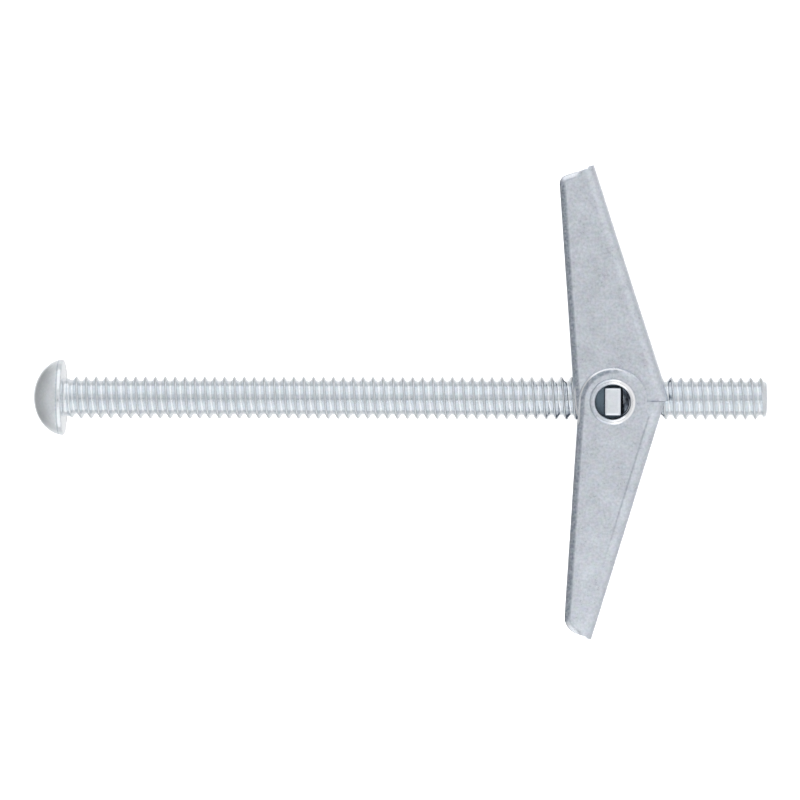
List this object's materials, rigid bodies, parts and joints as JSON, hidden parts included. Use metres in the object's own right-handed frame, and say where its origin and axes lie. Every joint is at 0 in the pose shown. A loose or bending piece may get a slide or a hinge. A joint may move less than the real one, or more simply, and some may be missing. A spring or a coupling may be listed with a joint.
{
  "type": "spring toggle bolt",
  "caption": "Spring toggle bolt: slotted round-head machine screw with a nut and two spring-opened, folding sheet-steel wings for fixing to a hollow wall.",
  "frame": {"origin": "on the screw's axis, in the plane of the bearing face under the head", "axes": "+X along the screw from the head to its tip; +Y along the upper (inner) wing when it is open; +Z along the axis that the wings fold on"},
  "size_m": [0.0783, 0.0504, 0.0104],
  "materials": {
    "screw_steel": "bright zinc plate on cold-headed, rolled-thread steel",
    "wing_steel": "bright zinc plate on pressed sheet steel, faintly blue",
    "nut_steel": "bright zinc plate, pale",
    "spring_steel": "drawn spring wire, plain"
  },
  "bodies": {
    "screw": {"screw": "screw_steel"},
    "nut": {"nut": "nut_steel", "spring": "spring_steel"},
    "wing_inner": {"wing_inner": "wing_steel"},
    "wing_outer": {"wing_outer": "wing_steel"}
  },
  "joints": [
    {"name": "nut_travel", "type": "slide", "parent": "screw", "child": "nut", "axis": [1, 0, 0], "range_m": [-0.03175, 0.01447]},
    {"name": "inner_wing_fold", "type": "hinge", "parent": "nut", "child": "wing_inner", "pos_m": [0.05865, 0, 0], "axis": [0, 0, 1], "range_deg": [0, 78], "stiffness_Nm_per_rad": 0.005, "springref_deg": -34.38, "deforming": ["spring"]},
    {"name": "outer_wing_fold", "type": "hinge", "parent": "nut", "child": "wing_outer", "pos_m": [0.05865, 0, 0], "axis": [0, 0, -1], "range_deg": [0, 77.5], "stiffness_Nm_per_rad": 0.005, "springref_deg": -34.38, "deforming": ["spring"]}
  ]
}
